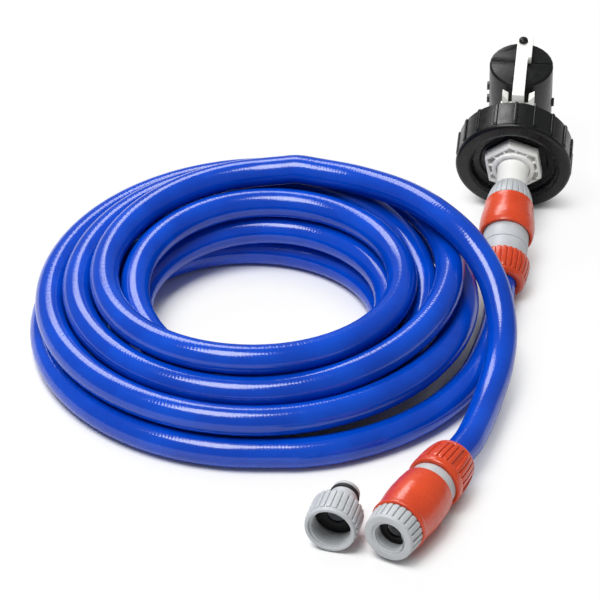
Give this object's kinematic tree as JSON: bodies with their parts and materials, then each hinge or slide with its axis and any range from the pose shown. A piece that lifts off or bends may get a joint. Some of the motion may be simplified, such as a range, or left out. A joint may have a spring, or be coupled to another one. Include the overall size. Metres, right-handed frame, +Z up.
{
  "type": "drinking water hose kit",
  "caption": "Coiled blue drinking-water hose with a quick connector at each end, a spare threaded adapter, and a float valve in a screw cap for a caravan water barrel.",
  "frame": {"origin": "middle of the kit's bounding box in X and Y, on the floor it lies on", "axes": "+Z up from the floor, +Y from the spare adapter past the coil to the float, +X to the side of the screw cap"},
  "size_m": [0.3294, 0.4342, 0.086],
  "materials": {
    "blue_hose": "glossy translucent blue, fine cross ribs of the reinforcement showing through",
    "orange_plastic": "satin moulded",
    "grey_plastic": "satin moulded",
    "white_plastic": "satin moulded",
    "black_plastic": "satin moulded",
    "black_rubber": "matt"
  },
  "bodies": {
    "hose_and_bodies": {"hose_coil": "blue_hose", "hose_lead_front": "blue_hose", "hose_lead_rear": "blue_hose", "front_connector_body": "grey_plastic", "front_claw_ring": "white_plastic", "rear_connector_body": "grey_plastic", "rear_body_ring": "grey_plastic", "rear_claw_ring": "white_plastic"},
    "front_collet": {"front_grip_collet": "white_plastic"},
    "front_nut": {"front_clamp_nut": "orange_plastic"},
    "front_sleeve": {"front_release_sleeve": "orange_plastic"},
    "front_seal": {"front_nipple_seal": "black_rubber"},
    "front_tap_end": {"front_coupling": "grey_plastic", "front_flat_washer": "black_rubber"},
    "rear_collet": {"rear_grip_collet": "white_plastic"},
    "rear_nut": {"rear_clamp_nut": "orange_plastic"},
    "rear_sleeve": {"rear_release_sleeve": "orange_plastic"},
    "rear_seal": {"rear_nipple_seal": "black_rubber"},
    "float_valve": {"rear_coupling": "grey_plastic", "rear_flat_washer": "black_rubber", "valve_body": "white_plastic", "hex_backnut": "white_plastic", "screw_cap": "black_plastic", "cap_gasket": "black_rubber", "flange_washer": "black_rubber", "pivot_pin": "white_plastic"},
    "piston": {"valve_piston": "white_plastic", "piston_seal": "black_rubber"},
    "float_lever": {"lever_arm": "white_plastic", "float_can": "black_plastic", "float_base": "black_plastic", "float_knob": "black_plastic"},
    "spare": {"spare_adapter": "grey_plastic", "spare_nipple_seal": "black_rubber", "spare_flat_washer": "black_rubber"}
  },
  "joints": [
    {"name": "front_nut_turn", "type": "hinge", "parent": "front_collet", "child": "front_nut", "pos_m": [0.0754, -0.14848, 0.0173], "axis": [0.4787, 0.878, 0], "range_deg": [0, 720]},
    {"name": "front_nut_slide", "type": "slide", "parent": "hose_and_bodies", "child": "front_collet", "axis": [0.4787, 0.878, 0], "range_m": [0, 0.006]},
    {"name": "front_sleeve_pull", "type": "slide", "parent": "hose_and_bodies", "child": "front_sleeve", "axis": [0.4787, 0.878, 0], "range_m": [0, 0.004], "stiffness_N_per_m": 1500},
    {"name": "front_unplug", "type": "slide", "parent": "hose_and_bodies", "child": "front_seal", "axis": [-0.4787, -0.878, 0], "range_m": [0, 0.03]},
    {"name": "rear_nut_turn", "type": "hinge", "parent": "rear_collet", "child": "rear_nut", "pos_m": [0.11613, 0.046, 0.01592], "axis": [-0.114, -0.9704, -0.213], "range_deg": [0, 720]},
    {"name": "rear_nut_slide", "type": "slide", "parent": "hose_and_bodies", "child": "rear_collet", "axis": [-0.114, -0.9704, -0.213], "range_m": [0, 0.006]},
    {"name": "rear_sleeve_pull", "type": "slide", "parent": "hose_and_bodies", "child": "rear_sleeve", "axis": [-0.114, -0.9704, -0.213], "range_m": [0, 0.004], "stiffness_N_per_m": 1500},
    {"name": "rear_unplug", "type": "slide", "parent": "hose_and_bodies", "child": "rear_seal", "axis": [0.114, 0.9704, 0.213], "range_m": [0, 0.03]},
    {"name": "front_swivel", "type": "hinge", "parent": "front_seal", "child": "front_tap_end", "pos_m": [0.04428, -0.20555, 0.0173], "axis": [-0.4787, -0.878, 0], "continuous": true},
    {"name": "rear_swivel", "type": "hinge", "parent": "rear_seal", "child": "float_valve", "pos_m": [0.12353, 0.10908, 0.02977], "axis": [0.114, 0.9704, 0.213], "continuous": true},
    {"name": "float_swing", "type": "hinge", "parent": "float_valve", "child": "float_lever", "pos_m": [0.12982, 0.16258, 0.06199], "axis": [0.9932, -0.1167, 0], "range_deg": [0, 20]},
    {"name": "piston_slide", "type": "slide", "parent": "float_valve", "child": "piston", "axis": [0.114, 0.9704, 0.213], "range_m": [0, 0.0058]},
    {"name": "spare_lift", "type": "slide", "parent": "hose_and_bodies", "child": "spare", "axis": [0, 0, 1], "range_m": [0, 0.06]}
  ],
  "couplings": [
    {"joint": "front_nut_turn", "follows": "front_nut_slide", "rad_per_m": 2094},
    {"joint": "rear_nut_turn", "follows": "rear_nut_slide", "rad_per_m": 2094},
    {"joint": "piston_slide", "follows": "float_swing", "m_per_rad": 0.0164}
  ]
}
